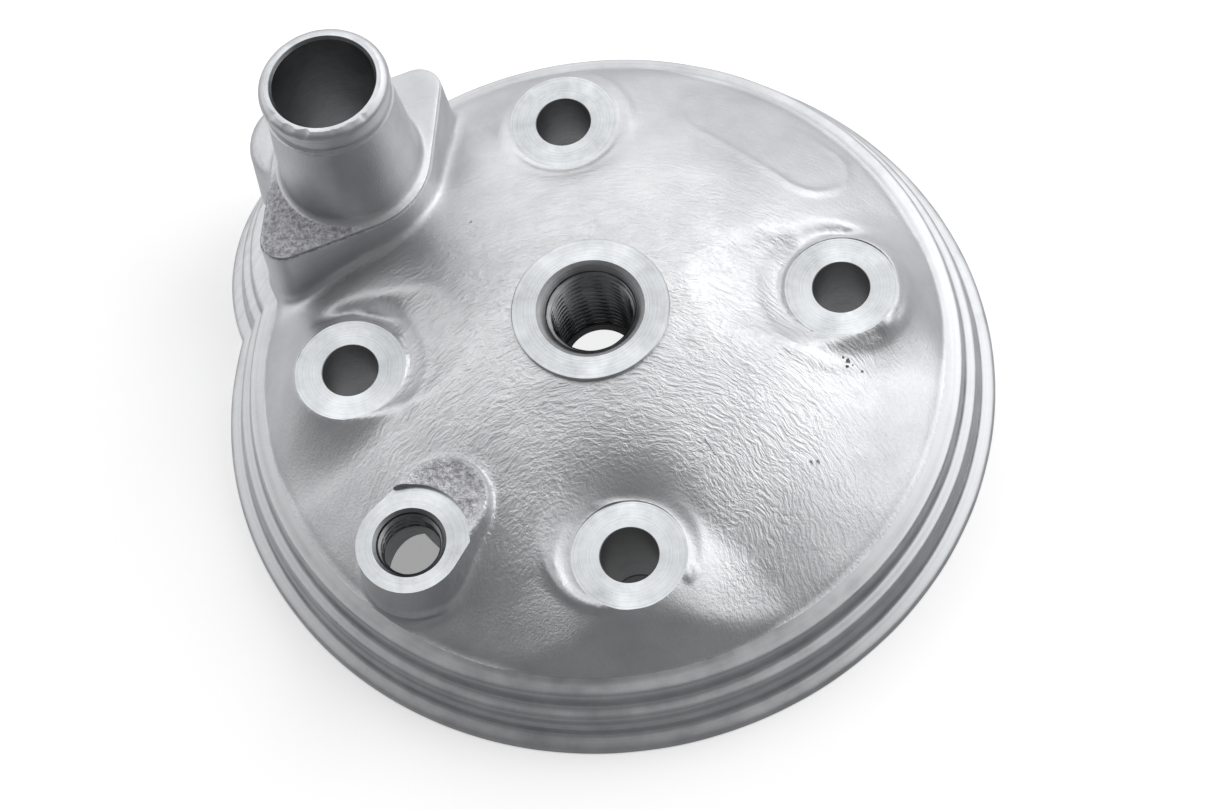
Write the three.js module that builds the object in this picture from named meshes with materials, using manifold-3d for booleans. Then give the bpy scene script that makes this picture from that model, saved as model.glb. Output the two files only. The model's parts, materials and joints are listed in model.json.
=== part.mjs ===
// Cylinder head of a small liquid-cooled two-stroke engine, in millimetres, +Z up.
// The origin is on the bore axis in the plane of the gasket face. Two studs lie on X and two on Y,
// the coolant outlet is on the diagonal between -X and +Y, and the sensor boss is between -X and -Y.
import * as THREE from "three";
import { mergeVertices } from "three/addons/utils/BufferGeometryUtils.js";
import Module from "manifold-3d";

const wasm = await Module();
wasm.setup();

// Driving dimensions
const clearance = 0.3; // between any two pieces that touch when the head is bolted down
const cutThrough = 2; // how far a cutter runs past the face it opens

const rimRadius = 63.5;
// the turned steps of the rim, each as [inset from the rim's edge, height]
const rimSteps = [
  [0, 0],
  [0, 0.6],
  [0.9, 1.3],
  [2.1, 1.7],
  [2.4, 4.2],
  [2.8, 4.4],
  [3.1, 6.8],
  [5.1, 6.8],
  [5.2, 11],
  [7.6, 11.2],
];
const dome = { apex: 27.6, wall: 4.2, bands: 6 };
const ear = { offset: 40.6, radius: 32.7, crown: 16 }; // the bulge of the rim under the outlet

const stud = { circle: 39.5, hole: 4.5, seatHeight: 20.6, seatRadius: 9.6, scoopRadius: 13, scoopTop: 27 };
const studBoss = { draft: 1.6, depth: 9 };
const column = { radius: 8.2, capRadius: 12.2, floor: 4.4, flare: 3 };

const plug = { seatRadius: 12.5, seatHeight: 27.5, length: 18, bush: 7.2, thread: 6.4, lead: 1.4 };
const plugSeat = { draft: 1, depth: 5 };
const tower = { radius: 16 };
const bushFit = { shoulder: 1, bevel: 0.6, mouthBevel: 0.4 };

const sensor = { offset: 46.3, face: 23.5, faceRadius: 8.3, hole: 4.5, bush: 5.2, depth: 5.5, lead: 0.8 };
const sensorBossShape = { length: 8.4, narrowing: 1, step: 1, stepRadius: 9.4 };

const outlet = { offset: 49.5, mouth: 50, bore: 8.15, lip: 10.4, lipHeight: 1.7, chamfer: 0.6, boreFloor: 5 };
const neck = { relief: 9.9, reliefHeight: 3.2, top: 10.2, foot: 11.6, fillet: 1.2, undercut: 0.4, root: 2 };
const flange = { top: 26.5, middle: 13.3, lobe: 4, spread: 17.2, ledge: 0.3, step: 0.6 };
const lug = { offset: 60.9, radius: 9, top: 24, draft: 2, rounding: 1.5 };
const lugHollow = { radius: 4.5, draft: 0.8, depth: 15, shift: 3 };

const bore = { radius: 23.8, squishDepth: 0.9, bowlRadius: 16.6, bowlLip: 1.8, bowlSweep: 70 };
const land = { inner: 7.4, outer: 9.4 }; // width of the sealing faces inside and outside the water jacket
const jacket = { fillet: 2.6, floorWall: 6.5, floorRise: 3.5, floorReach: 4, depthAtTower: 4.5 };
const seal = { section: 1.15, chamberInset: 3.9, rimInset: 5.4 }; // section is the radius of the ring's round
const studSeal = { section: 0.9 };

const roundSegments = 60;
const middleSegments = 48;
const seatSegments = 36;
const neckSegments = 32;
const smallSegments = 24;

// Geometry helpers
function solid(geometry) {
  const bare = geometry.index ? geometry.toNonIndexed() : geometry.clone();
  bare.deleteAttribute("normal");
  bare.deleteAttribute("uv");
  const merged = mergeVertices(bare, 1e-4);
  return new wasm.Manifold(
    new wasm.Mesh({
      numProp: 3,
      vertProperties: new Float32Array(merged.attributes.position.array),
      triVerts: new Uint32Array(merged.index.array),
    }),
  );
}

// A solid of revolution about Z from [radius, height] points that run up the outside.
function turned(points, segments = smallSegments) {
  const profile = points.map(([radius, height]) => new THREE.Vector2(radius, height));
  profile.push(profile[0].clone());
  const lathe = new THREE.LatheGeometry(profile, segments);
  lathe.rotateX(Math.PI / 2);
  return solid(lathe);
}

// A cylinder or cone about Z between two heights.
function round(lowRadius, low, highRadius, high, segments = smallSegments) {
  const cone = new THREE.CylinderGeometry(highRadius, lowRadius, high - low, segments);
  cone.rotateX(Math.PI / 2);
  cone.translate(0, 0, (low + high) / 2);
  return solid(cone);
}

// A flat outline raised between two heights.
function raised(shape, low, high, curveSegments = 12) {
  const block = new THREE.ExtrudeGeometry(shape, { depth: high - low, bevelEnabled: false, curveSegments });
  block.translate(0, 0, low);
  return solid(block);
}

function movedTo(part, radius, degrees) {
  const angle = THREE.MathUtils.degToRad(degrees);
  return part.translate([radius * Math.cos(angle), radius * Math.sin(angle), 0]);
}

function toMesh(name, part, colour, roughness, metalness) {
  const made = part.getMesh();
  const geometry = new THREE.BufferGeometry();
  geometry.setAttribute("position", new THREE.BufferAttribute(new Float32Array(made.vertProperties), 3));
  geometry.setIndex(new THREE.BufferAttribute(new Uint32Array(made.triVerts), 1));
  geometry.computeVertexNormals();
  const material = new THREE.MeshStandardMaterial({ color: colour, roughness, metalness, flatShading: true });
  const mesh = new THREE.Mesh(geometry, material);
  mesh.name = name;
  return mesh;
}

// The cast dome: a ball cap from the inner edge of the rim's steps up to the apex.
const [lastInset, lastHeight] = rimSteps[rimSteps.length - 1];
const domeFoot = rimRadius - lastInset;
const domeRise = dome.apex - lastHeight;
const ballRadius = (domeFoot ** 2 + domeRise ** 2) / (2 * domeRise);

function domeHeight(radius) {
  return dome.apex - ballRadius + Math.sqrt(ballRadius ** 2 - radius ** 2);
}

function capPoints(fromRadius, toRadius, bands, below = 0) {
  return Array.from({ length: bands + 1 }, (_, i) => {
    const radius = fromRadius + ((toRadius - fromRadius) * i) / bands;
    return [radius, domeHeight(radius) - below];
  });
}

const studAngles = [0, 90, 180, 270];
const sensorAngle = 225;
const outletAngle = 135;

function rimAndDome() {
  const steps = rimSteps.map(([inset, height]) => [rimRadius - inset, height]);
  const cap = capPoints(domeFoot, 0, dome.bands).slice(1);
  return turned([[0, 0], ...steps, ...cap], roundSegments);
}

// The rim's steps follow the same insets round the ear, and the ear has a low crown of its own.
function earBody() {
  const steps = rimSteps.map(([inset, height]) => [ear.radius - inset, height]);
  const body = turned([[0, 0], ...steps, [0, ear.crown]], middleSegments);
  return movedTo(body, ear.offset, outletAngle);
}

function studBosses() {
  const boss = round(
    stud.seatRadius + studBoss.draft,
    stud.seatHeight - studBoss.depth,
    stud.seatRadius,
    stud.seatHeight,
  );
  return studAngles.map((angle) => movedTo(boss, stud.circle, angle));
}

// A long round-ended boss that starts at the sensor's axis and runs in towards the plug.
function sensorBoss() {
  const outline = new THREE.Shape();
  outline.absarc(0, 0, sensor.faceRadius, -Math.PI / 2, Math.PI / 2, false);
  const innerRadius = sensor.faceRadius - sensorBossShape.narrowing;
  outline.absarc(-sensorBossShape.length, 0, innerRadius, Math.PI / 2, (3 * Math.PI) / 2, false);
  outline.closePath();
  const boss = raised(outline, jacketRoof(sensor.offset), sensor.face + sensorBossShape.step);
  return movedTo(boss.rotate([0, 0, sensorAngle]), sensor.offset, sensorAngle);
}

const earLedge = rimSteps[6][1]; // the flat ledge of the rim that the flange grows from

// Two lobes and a round middle, joined by straight sides that touch both circles.
function flangeOutline(shrink) {
  const middle = flange.middle - shrink;
  const lobe = flange.lobe - shrink;
  const lean = Math.asin((middle - lobe) / flange.spread);
  const side = Math.PI / 2 - lean;
  const outline = new THREE.Shape();
  outline.absarc(flange.spread, 0, lobe, -side, side, false);
  outline.absarc(0, 0, middle, side, Math.PI - side, false);
  outline.absarc(-flange.spread, 0, lobe, Math.PI - side, Math.PI + side, false);
  outline.absarc(0, 0, middle, Math.PI + side, 2 * Math.PI - side, false);
  outline.closePath();
  return outline;
}

// The outlet's flange lies across the diagonal, with a thin step round its top edge.
function outletFlange() {
  const foot = earLedge;
  const block = raised(flangeOutline(0), foot, flange.top - flange.step);
  const plate = raised(flangeOutline(flange.ledge), foot, flange.top);
  return movedTo(block.add(plate).rotate([0, 0, outletAngle - 90]), outlet.offset, outletAngle);
}

// A drafted neck with a turned relief under the lip that holds the hose.
function outletNeck() {
  const lipFoot = outlet.mouth - outlet.lipHeight;
  const reliefFoot = lipFoot - neck.reliefHeight;
  const filletSag = neck.fillet * (1 - Math.SQRT1_2); // how far a quarter round stands off its corner
  const profile = [
    [0, flange.top - neck.root],
    [neck.foot + neck.fillet, flange.top - neck.root],
    [neck.foot + neck.fillet, flange.top],
    [neck.foot + filletSag, flange.top + filletSag],
    [neck.foot, flange.top + neck.fillet],
    [neck.top, reliefFoot + neck.relief - neck.top],
    [neck.relief, reliefFoot],
    [neck.relief, lipFoot],
    [outlet.lip, lipFoot + neck.undercut],
    [outlet.lip, outlet.mouth - outlet.chamfer],
    [outlet.lip - outlet.chamfer, outlet.mouth],
    [0, outlet.mouth],
  ];
  return movedTo(turned(profile, neckSegments), outlet.offset, outletAngle);
}

function outletBore() {
  const mouth = outlet.bore + outlet.chamfer;
  const profile = [
    [0, outlet.boreFloor],
    [outlet.bore, outlet.boreFloor],
    [outlet.bore, outlet.mouth - outlet.chamfer],
    [mouth, outlet.mouth],
    [mouth, outlet.mouth + cutThrough],
    [0, outlet.mouth + cutThrough],
  ];
  return movedTo(turned(profile, neckSegments), outlet.offset, outletAngle);
}

// The lug behind the outlet is hollow from below, as a casting needs.
function lugBody() {
  const profile = [
    [0, 0],
    [lug.radius + lug.draft, 0],
    [lug.radius, lug.top - lug.rounding],
    [lug.radius - lug.rounding, lug.top],
    [0, lug.top],
  ];
  return movedTo(turned(profile), lug.offset, outletAngle);
}

function lugCore() {
  const core = round(lugHollow.radius, -cutThrough, lugHollow.radius - lugHollow.draft, lugHollow.depth);
  return movedTo(core, lug.offset + lugHollow.shift, outletAngle);
}

const plugRoof = plug.seatHeight - plug.length; // where the plug's hole meets the chamber

// Water jacket
const jacketInner = bore.radius + land.inner;
const jacketOuter = rimRadius - land.outer;

function jacketRoof(radius) {
  return domeHeight(Math.min(radius, jacketOuter)) - dome.wall;
}

function waterJacket() {
  const outerWallTop = jacketRoof(jacketOuter) - jacket.fillet;
  const roof = capPoints(jacketOuter - jacket.fillet, tower.radius + jacket.fillet, 4, dome.wall);
  const towerRoof = jacketRoof(tower.radius);
  const profile = [
    [jacketInner, -cutThrough],
    [jacketOuter, -cutThrough],
    [jacketOuter, outerWallTop],
    ...roof,
    [tower.radius, towerRoof - jacket.fillet],
    [tower.radius, towerRoof - jacket.depthAtTower],
    [jacketInner - jacket.floorReach, jacket.floorWall + jacket.floorRise],
    [jacketInner, jacket.floorWall],
  ];
  const hollow = turned(profile, middleSegments);
  const columns = studAngles.map((angle) => movedTo(studColumn(), stud.circle, angle));
  return columns.reduce((left, one) => left.subtract(one), hollow);
}

// A column carries each stud through the jacket, and widens into a floor under the seat.
function studColumn() {
  const capFoot = stud.seatHeight - column.floor;
  return turned([
    [0, -2 * cutThrough],
    [column.radius, -2 * cutThrough],
    [column.radius, capFoot - column.flare],
    [column.capRadius, capFoot],
    [column.capRadius, dome.apex],
    [0, dome.apex],
  ]);
}

// Combustion chamber: a shallow squish band round a bowl that ends at the plug's thread.
function chamber() {
  const bands = 4;
  const sweep = THREE.MathUtils.degToRad(bore.bowlSweep);
  const rise = (plugRoof - bore.bowlLip) / Math.sin(sweep);
  const bowl = Array.from({ length: bands }, (_, i) => {
    const angle = ((i + 1) / bands) * sweep;
    return [bore.bowlRadius * Math.cos(angle), bore.bowlLip + rise * Math.sin(angle)];
  });
  return turned(
    [
      [0, -cutThrough],
      [bore.radius, -cutThrough],
      [bore.radius, bore.squishDepth],
      [bore.bowlRadius, bore.bowlLip],
      ...bowl,
      [0, plugRoof],
    ],
    middleSegments,
  );
}

// A groove for a sealing ring in the gasket face, and the ring that lies in it.
function sealGroove(radius, section, segments) {
  const half = section + clearance;
  return turned(
    [
      [radius - half, -cutThrough],
      [radius + half, -cutThrough],
      [radius + half, 2 * section + clearance],
      [radius - half, 2 * section + clearance],
    ],
    segments,
  );
}

// The small ring at a stud lies in a counterbore round the foot of the stud's hole.
function studSealSeat() {
  const seatRadius = studSealRadius + studSeal.section + clearance;
  return round(seatRadius, -cutThrough, seatRadius, 2 * studSeal.section + clearance);
}

function sealRing(radius, section, segments) {
  const sides = 8;
  const corner = section / Math.cos(Math.PI / sides);
  const ring = Array.from({ length: sides }, (_, i) => {
    const angle = ((i + 0.5) / sides) * 2 * Math.PI - Math.PI / 2;
    return [radius + corner * Math.cos(angle), section + corner * Math.sin(angle)];
  });
  return turned(ring, segments);
}

const chamberSealRadius = bore.radius + seal.chamberInset;
const rimSealRadius = rimRadius - seal.rimInset;
const studSealRadius = stud.hole + clearance + studSeal.section;

// Threaded steel bushes, plain inside at this scale. Each goes in from above and stands on a shoulder.
const plugBushFoot = plugRoof + bushFit.shoulder;
const plugBushTop = plug.seatHeight - plug.lead;

function plugBush() {
  return turned([
    [plug.thread, plugBushFoot],
    [plug.bush, plugBushFoot],
    [plug.bush, plugBushTop],
    [plug.thread + bushFit.bevel, plugBushTop],
    [plug.thread, plugBushTop - bushFit.bevel],
  ]);
}

function plugHole() {
  const mouth = plug.bush + clearance;
  return turned([
    [0, plugRoof - cutThrough],
    [plug.thread, plugRoof - cutThrough],
    [plug.thread, plugBushFoot - clearance],
    [mouth, plugBushFoot - clearance],
    [mouth, plug.seatHeight - bushFit.mouthBevel],
    [mouth + bushFit.mouthBevel, plug.seatHeight],
    [mouth + bushFit.mouthBevel, plug.seatHeight + cutThrough],
    [0, plug.seatHeight + cutThrough],
  ]);
}

const sensorRoof = sensor.face - sensor.depth; // top of the cored pocket under the sensor's hole
const sensorBushTop = sensor.face - sensor.lead;
const sensorBushFoot = sensorRoof + bushFit.shoulder;

function sensorBush() {
  const bush = turned([
    [sensor.hole, sensorBushFoot],
    [sensor.bush, sensorBushFoot],
    [sensor.bush, sensorBushTop],
    [sensor.hole + bushFit.bevel, sensorBushTop],
    [sensor.hole, sensorBushTop - bushFit.bevel],
  ]);
  return movedTo(bush, sensor.offset, sensorAngle);
}

// The hole goes through the boss into a cored pocket that opens down into the jacket.
function sensorHole() {
  const throat = sensor.hole + clearance;
  const pocket = sensor.bush + clearance;
  const hole = turned([
    [0, jacket.floorWall],
    [pocket, jacket.floorWall],
    [pocket, sensorRoof - bushFit.shoulder],
    [throat, sensorRoof],
    [throat, sensorBushFoot - clearance],
    [pocket, sensorBushFoot - clearance],
    [pocket, sensor.face - bushFit.mouthBevel],
    [pocket + bushFit.mouthBevel, sensor.face],
    [pocket + bushFit.mouthBevel, sensor.face + cutThrough],
    [0, sensor.face + cutThrough],
  ]);
  return movedTo(hole, sensor.offset, sensorAngle);
}

// The ring that the plug's washer sits on stands a little proud of the dome.
function plugSeatRing() {
  const foot = dome.apex - plugSeat.depth;
  return round(plug.seatRadius + plugSeat.draft, foot, plug.seatRadius, plug.seatHeight, seatSegments);
}

// What is milled away above each machined face
function spotFaces() {
  const overStud = round(stud.seatRadius, stud.seatHeight, stud.scoopRadius, stud.scoopTop);
  const faceTop = sensor.face + sensorBossShape.step + cutThrough;
  const overSensor = round(sensorBossShape.stepRadius, sensor.face, sensorBossShape.stepRadius, faceTop);
  const plugRim = plug.seatRadius + plugSeat.draft;
  const plugTop = plug.seatHeight + cutThrough;
  const overPlug = round(plug.seatRadius, plug.seatHeight, plugRim, plugTop, seatSegments);
  return [
    ...studAngles.map((angle) => movedTo(overStud, stud.circle, angle)),
    movedTo(overSensor, sensor.offset, sensorAngle),
    overPlug,
  ];
}

function headCasting() {
  const added = [
    earBody(),
    lugBody(),
    outletFlange(),
    outletNeck(),
    ...studBosses(),
    sensorBoss(),
    plugSeatRing(),
  ];
  const blank = added.reduce((whole, piece) => whole.add(piece), rimAndDome());

  const studHole = round(stud.hole, -cutThrough, stud.hole, stud.seatHeight + cutThrough);
  const studHoles = studAngles.map((angle) => movedTo(studHole, stud.circle, angle));
  const grooves = [
    sealGroove(chamberSealRadius, seal.section, middleSegments),
    sealGroove(rimSealRadius, seal.section, roundSegments),
    ...studAngles.map((angle) => movedTo(studSealSeat(), stud.circle, angle)),
  ];
  const cuts = [
    ...spotFaces(),
    ...studHoles,
    waterJacket(),
    chamber(),
    plugHole(),
    sensorHole(),
    outletBore(),
    lugCore(),
    ...grooves,
  ];
  return cuts.reduce((left, cutter) => left.subtract(cutter), blank);
}

const castSilver = 0xb9bbbd;
const steelGrey = 0x9a9c9f;
const sealBlack = 0x1d1d1e;

const head = new THREE.Group();
head.name = "cylinder_head";
head.add(toMesh("head_casting", headCasting(), castSilver, 0.45, 1));
head.add(toMesh("plug_thread_insert", plugBush(), steelGrey, 0.35, 1));
head.add(toMesh("sensor_thread_insert", sensorBush(), steelGrey, 0.35, 1));

const seals = new THREE.Group();
seals.name = "seals";
const chamberRing = sealRing(chamberSealRadius, seal.section, middleSegments);
const jacketRing = sealRing(rimSealRadius, seal.section, roundSegments);
seals.add(toMesh("chamber_seal_ring", chamberRing, sealBlack, 0.6, 0));
seals.add(toMesh("jacket_seal_ring", jacketRing, sealBlack, 0.6, 0));
studAngles.forEach((angle, i) => {
  const ring = movedTo(sealRing(studSealRadius, studSeal.section, smallSegments), stud.circle, angle);
  seals.add(toMesh(`stud_seal_ring_${i + 1}`, ring, sealBlack, 0.6, 0));
});
head.add(seals);

export default head;
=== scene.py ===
import json
import math

import bmesh
import bpy
import numpy as np
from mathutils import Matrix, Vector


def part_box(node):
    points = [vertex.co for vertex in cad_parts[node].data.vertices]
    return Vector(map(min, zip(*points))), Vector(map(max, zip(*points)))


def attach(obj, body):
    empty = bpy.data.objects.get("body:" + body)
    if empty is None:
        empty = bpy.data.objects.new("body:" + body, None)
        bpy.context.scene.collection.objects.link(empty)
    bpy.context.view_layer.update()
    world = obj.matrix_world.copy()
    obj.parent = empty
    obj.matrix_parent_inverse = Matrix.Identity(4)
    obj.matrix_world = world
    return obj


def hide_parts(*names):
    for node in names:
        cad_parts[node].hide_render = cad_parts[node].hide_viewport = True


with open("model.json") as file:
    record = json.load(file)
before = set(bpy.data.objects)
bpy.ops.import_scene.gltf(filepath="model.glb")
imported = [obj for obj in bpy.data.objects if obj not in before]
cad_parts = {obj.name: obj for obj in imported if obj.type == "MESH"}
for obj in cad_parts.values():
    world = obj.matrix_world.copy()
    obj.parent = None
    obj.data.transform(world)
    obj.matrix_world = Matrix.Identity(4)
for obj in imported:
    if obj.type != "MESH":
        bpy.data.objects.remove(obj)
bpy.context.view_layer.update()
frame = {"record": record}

import openvdb
from mathutils import Matrix, Vector, noise

mm = 0.001  # sizes below are in millimetres, meshes in metres
scene = bpy.context.scene
mounts = {m["name"]: [v / mm for v in m["pos_m"]] for m in frame["record"]["mounts"]}
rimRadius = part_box("head_casting")[1].x / mm


def linear(code):  # "#RRGGBB" as seen on a screen, to the linear colour that shaders want
    parts = [int(code[i:i + 2], 16) / 255 for i in (1, 3, 5)]
    return [c / 12.92 if c <= 0.04045 else ((c + 0.055) / 1.055) ** 2.4 for c in parts] + [1]


def node(tree, kind, values={}, links={}, **settings):
    made = tree.nodes.new(kind)
    for name, value in settings.items():
        setattr(made, name, value)
    for name, value in values.items():
        made.inputs[name].default_value = value
    for name, socket in links.items():
        tree.links.new(socket, made.inputs[name])
    return made


def emptyMaterial(name):
    material = bpy.data.materials.new(name)
    material.use_nodes = True
    material.node_tree.nodes.clear()
    return material, material.node_tree


def meshObject(name, points, faces, materialIndex=0):
    mesh = bpy.data.meshes.new(name)
    mesh.from_pydata([tuple(p) for p in points], [], faces)
    mesh.polygons.foreach_set("material_index", [materialIndex] * len(mesh.polygons))
    made = bpy.data.objects.new(name, mesh)
    scene.collection.objects.link(made)
    return made


def skinned(name, loops, materialIndex=0):  # a skin over a ring of closed loops, in mm
    count, around = len(loops), len(loops[0])
    points = [p for loop in loops for p in loop]
    faces = []
    for i in range(count):
        a, b = i * around, (i + 1) % count * around
        faces += [(a + j, a + (j + 1) % around, b + (j + 1) % around, b + j) for j in range(around)]
    made = meshObject(name, points, faces, materialIndex)
    work = bmesh.new()
    work.from_mesh(made.data)
    bmesh.ops.remove_doubles(work, verts=work.verts, dist=1e-5)
    bmesh.ops.recalc_face_normals(work, faces=work.faces)
    work.to_mesh(made.data)
    work.free()
    return made


def turned(name, profile, centre, segments, materialIndex=0):  # profile as (radius, height) points
    loops = []
    for i in range(segments):
        a = 2 * math.pi * i / segments
        loops.append([(centre[0] + r * math.cos(a), centre[1] + r * math.sin(a), z) for r, z in profile])
    return skinned(name, loops, materialIndex)


def gridOf(low, high, step):
    axes = [np.arange(a, b, step, dtype=np.float32) for a, b in zip(low, high)]
    return np.meshgrid(*axes, indexing="ij", sparse=True)


def polygonised(name, fieldOf, low, high, step):  # the skin where a distance field passes through zero
    field = fieldOf(*gridOf(low, high, step))
    band = 3 * step
    grid = openvdb.FloatGrid(background=band)
    grid.copyFromArray(np.clip(field, -band, band).astype(np.float32))
    grid.transform = openvdb.createLinearTransform(voxelSize=step)
    points, triangles, quads = grid.convertToPolygons(isovalue=0, adaptivity=0)
    points = points + np.array(low)
    faces = quads.tolist() + triangles.tolist()
    made = meshObject(name, points, faces)
    a, b, c = points[quads[:, 0]], points[quads[:, 1]], points[quads[:, 2]]
    if np.einsum("ij,ij->i", a, np.cross(b, c)).sum() < 0:
        made.data.flip_normals()
    return made


def carve(body, tools, operation="DIFFERENCE"):
    for tool in tools:
        cut = body.modifiers.new("cut", "BOOLEAN")
        cut.object = tool
        cut.operation = operation
        cut.solver = "MANIFOLD"
    graph = bpy.context.evaluated_depsgraph_get()
    mesh = bpy.data.meshes.new_from_object(body.evaluated_get(graph), depsgraph=graph)
    body.modifiers.clear()
    body.data = mesh
    for tool in tools:
        bpy.data.objects.remove(tool)


def toMetres(piece, sharpAngle=32):
    piece.data.transform(Matrix.Scale(mm, 4))
    mesh = piece.data
    mesh.polygons.foreach_set("use_smooth", [True] * len(mesh.polygons))
    mesh.set_sharp_from_angle(angle=math.radians(sharpAngle))
    work = bmesh.new()
    work.from_mesh(mesh)
    for edge in work.edges:  # a cut face meets the skin in a crisp edge
        if len({face.material_index for face in edge.link_faces}) > 1:
            edge.smooth = False
    work.to_mesh(mesh)
    work.free()
    return piece


def softMin(a, b, blend):
    overlap = np.maximum(blend - np.abs(a - b), 0) / blend
    return np.minimum(a, b) - overlap * overlap * blend / 4


def softMax(a, b, blend):
    return -softMin(-a, -b, blend)


view = {
    "place": (12.12, -193.79, 373.76),
    "aim": (-0.61, -3.15, 0),
    "roll": -12.96,  # degrees
    "lens": 75.34,
    "sensor": 36,
}


def addCamera():
    data = bpy.data.cameras.new("camera")
    data.lens = view["lens"]
    data.sensor_width = view["sensor"]
    data.clip_start = 0.01
    camera = bpy.data.objects.new("camera", data)
    place, aim = Vector(view["place"]) * mm, Vector(view["aim"]) * mm
    facing = (aim - place).to_track_quat("-Z", "Y").to_matrix().to_4x4()
    roll = Matrix.Rotation(math.radians(view["roll"]), 4, "Z")
    camera.matrix_world = Matrix.Translation(place) @ facing @ roll
    scene.collection.objects.link(camera)
    scene.camera = camera


studio = {
    "paper": "#F2F2F2",
    "glow": [(0, 0.8), (0.020, 0.03), (0.0357, 0.3), (0.061, 0.3)],  # glow of the paper, by metres from the middle: a painted pool of light under the plug's hole, painted shade under the head, an even glow beyond
    "card": "#77777A",  # the grey card that the metal reflects in place of the paper
    "cardGlow": (0.13, 0.56),  # in front of the head, and behind it where the lamps stand
    "cardSpan": (-0.06, 0.02),  # metres in y between those two
    "air": 0.22,  # what the metal sees of the air; the camera sees white
    "half": 3,  # metres from the middle of the paper to its edge
    "lamps": [  # name, place, width and depth in metres, brightness
        ("overhead", (0.1, 0.85, 1.35), 2.4, 1.6, 1.1),
        ("back", (0.1, 2.1, 0.45), 3.2, 1.3, 0.95),
        ("right", (1.35, 0.25, 0.95), 2.1, 1.5, 1.6),
        ("left", (-1.35, 0.6, 0.75), 1.5, 1.3, 1.05),
    ],
}


def addLamp(name, place, width, depth, brightness):
    data = bpy.data.lights.new(name, "AREA")
    data.shape = "RECTANGLE"
    data.size = width
    data.size_y = depth
    data.energy = brightness * math.pi * width * depth  # as bright to look at whatever its size
    lamp = bpy.data.objects.new(name, data)
    facing = (-Vector(place)).to_track_quat("-Z", "Y").to_matrix().to_4x4()
    lamp.matrix_world = Matrix.Translation(place) @ facing
    scene.collection.objects.link(lamp)


def paperSweep():  # matt white paper that glows so that it shows white with faint shadows; its glow paints a pool of light under the plug's hole and shade under the head
    material, tree = emptyMaterial("white paper sweep")
    place = node(tree, "ShaderNodeTexCoord").outputs["Object"]
    reach = node(tree, "ShaderNodeVectorMath", {}, {0: place}, operation="LENGTH").outputs["Value"]
    # painted light and shade: the glow is bright under the plug's hole as a pool of light, and nearly off under
    # the head as shade
    lit = node(tree, "ShaderNodeValToRGB", {}, {0: reach})
    lit.color_ramp.interpolation = "CONSTANT"
    for index, (distance, strength) in enumerate(studio["glow"]):
        stop = lit.color_ramp.elements[index] if index < 2 else lit.color_ramp.elements.new(distance)
        stop.position = distance
        stop.color = (strength, strength, strength, 1)
    matt = node(tree, "ShaderNodeBsdfDiffuse", {"Color": linear(studio["paper"])})
    glow = node(tree, "ShaderNodeEmission", {"Strength": 1}, {"Color": lit.outputs[0]})
    white = node(tree, "ShaderNodeAddShader", {}, {0: matt.outputs[0], 1: glow.outputs[0]})
    dull = node(tree, "ShaderNodeBsdfDiffuse", {"Color": linear(studio["card"])})
    depth = node(tree, "ShaderNodeSeparateXYZ", {}, {0: place}).outputs[1]
    span, glows = studio["cardSpan"], studio["cardGlow"]
    share = node(tree, "ShaderNodeMapRange", {1: span[0], 2: span[1], 3: glows[0], 4: glows[1]},
                 {0: depth}).outputs[0]
    dim = node(tree, "ShaderNodeEmission", {}, {"Strength": share})
    card = node(tree, "ShaderNodeAddShader", {}, {0: dull.outputs[0], 1: dim.outputs[0]})
    seen = node(tree, "ShaderNodeLightPath").outputs["Is Camera Ray"]
    both = node(tree, "ShaderNodeMixShader", {}, {0: seen, 1: card.outputs[0], 2: white.outputs[0]})
    node(tree, "ShaderNodeOutputMaterial", {}, {"Surface": both.outputs[0]})
    return material


def addStudio():
    scene.view_settings.view_transform = "Standard"
    world = bpy.data.worlds.new("studio air")
    scene.world = world
    world.use_nodes = True
    seen = node(world.node_tree, "ShaderNodeLightPath").outputs["Is Camera Ray"]
    air = node(world.node_tree, "ShaderNodeMapRange", {3: studio["air"], 4: 1.0}, {0: seen}).outputs[0]
    background = world.node_tree.nodes["Background"]
    background.inputs["Color"].default_value = (1, 1, 1, 1)
    world.node_tree.links.new(air, background.inputs["Strength"])
    for lamp in studio["lamps"]:
        addLamp(*lamp)
    half = studio["half"]
    corners = [(-half, -half, 0), (half, -half, 0), (half, half, 0), (-half, half, 0)]
    floor = meshObject("floor", corners, [(0, 1, 2, 3)])
    floor.data.materials.append(paperSweep())


castFinish = {
    # the skin's colour runs from dark to light with the wrinkles' height, painted shade in their hollows, and
    # with random mottle
    "dark": "#B6B7BA",
    "light": "#D9DADC",
    "wrinkle": 0.6,  # mm from one wrinkle to the next
    "wrinkleRun": 2.1,  # how much longer than wide a wrinkle is
    "swirl": (-5, -47),  # where the wrinkles run round
    "swirlArm": 28,  # how far from there they are as long as wrinkleRun says
    "grain": 0.42,  # mm, the sand's print
    "depth": 0.22,  # mm
    "mottle": 20,  # mm, cloudy patches
    "drift": 7,  # mm, how far apart the wrinkles' bends are and how far they stray
    "middle": (2, -12, 22),  # the most wrinkled place
    "wrinkledTo": (0.034, 0.064),  # metres from there, over which the wrinkles fade
    "driftShare": 0.024,  # how far the drift moves that edge
    "smoothLeft": 0.16,  # what is left of the wrinkles outside
    "rubbedAt": (0, -39.5, 20),  # the tool that faced the front seat rubbed the skin beside it
    "rubbed": (10, 17, 0.15),  # mm from there, over which the wrinkles come back, and their share within
    # tops that the sand marked: place, and the distances where the marks start to fade and are gone
    "sandy": [((-45, 24, 27.5), 9, 15), ((-25.5, -25.5, 27), 5, 9.5)],
    "rough": "#8F8D94",  # the dust on them
    "blotch": 0.8,  # mm
}


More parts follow.
